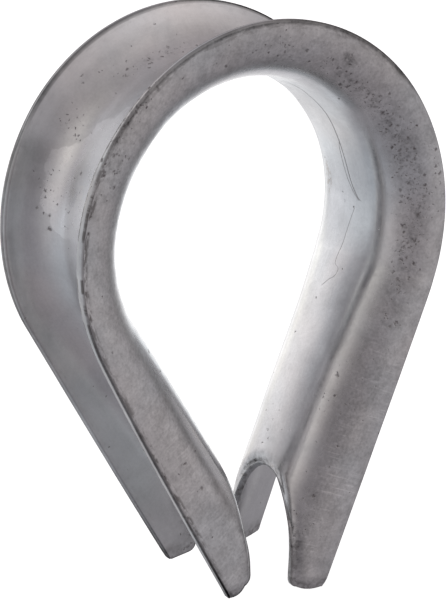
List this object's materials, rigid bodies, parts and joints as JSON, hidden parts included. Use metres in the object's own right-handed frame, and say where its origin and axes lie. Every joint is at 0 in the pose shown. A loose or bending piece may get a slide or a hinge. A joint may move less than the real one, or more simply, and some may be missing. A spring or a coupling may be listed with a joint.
{
  "type": "wire rope thimble",
  "caption": "Open teardrop thimble of formed zinc plated steel channel, with an outward groove for a rope eye and notched, tongued ends.",
  "frame": {"origin": "centre of the crown arc, halfway between the two flanges", "axes": "X across the eye, +Y along the axis of the crown arc, away from the front flange, +Z from the tips to the top of the crown"},
  "size_m": [0.056, 0.0218, 0.0795],
  "materials": {
    "zinc_plated_steel": "satin hot dip zinc over formed steel strip, faintly mottled, with pits, scratches and darker sheared edges"
  },
  "bodies": {
    "root": {"thimble": "zinc_plated_steel"}
  },
  "joints": []
}
